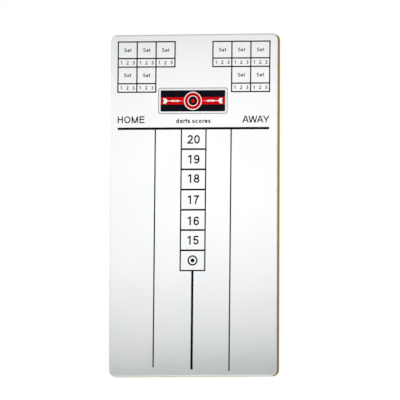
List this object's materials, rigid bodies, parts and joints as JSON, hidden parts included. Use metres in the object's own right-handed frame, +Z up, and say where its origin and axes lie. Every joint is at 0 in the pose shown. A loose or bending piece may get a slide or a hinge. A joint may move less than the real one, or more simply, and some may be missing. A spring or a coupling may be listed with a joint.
{
  "type": "dry-wipe darts scoreboard",
  "caption": "Wall-hung dry-wipe darts scoreboard: a film-faced fibreboard panel with printed score columns, a number ladder, set boxes, a badge and keyhole hangers.",
  "frame": {"origin": "centre of the board's back face", "axes": "+Z up along the board's height, +X towards the away side (right, seen from the front), +Y out of the back face towards the wall, so the front faces -Y"},
  "size_m": [0.3, 0.0223, 0.6],
  "materials": {
    "fibreboard": "raw sawn and sanded fibreboard edge",
    "film": "high gloss dry-wipe film",
    "liner": "fine matte balancing sheet",
    "black_ink": "satin screen-printed ink",
    "vinyl": "satin vinyl label",
    "grey_ink": "satin ink",
    "red_ink": "satin ink",
    "white_ink": "satin ink",
    "zinc_plate": "bright zinc plated pressed steel",
    "zinc_screw": "yellow zinc plated"
  },
  "bodies": {
    "root": {"panel_core": "fibreboard", "dry_wipe_film": "film", "back_liner": "liner", "header_rule": "black_ink", "home_column_rule": "black_ink", "away_column_rule": "black_ink", "centre_rule": "black_ink", "score_ladder": "black_ink", "target_numerals": "black_ink", "bullseye_symbol": "black_ink", "home_set_boxes": "black_ink", "away_set_boxes": "black_ink", "home_set_lettering": "black_ink", "away_set_lettering": "black_ink", "home_name": "black_ink", "away_name": "black_ink", "caption_line": "black_ink", "badge_label": "vinyl", "badge_keyline": "grey_ink", "badge_field": "black_ink", "badge_stripe": "red_ink", "badge_target": "white_ink", "badge_darts": "white_ink", "home_side_hanger": "zinc_plate", "away_side_hanger": "zinc_plate", "home_side_screws": "zinc_screw", "away_side_screws": "zinc_screw"}
  },
  "joints": []
}
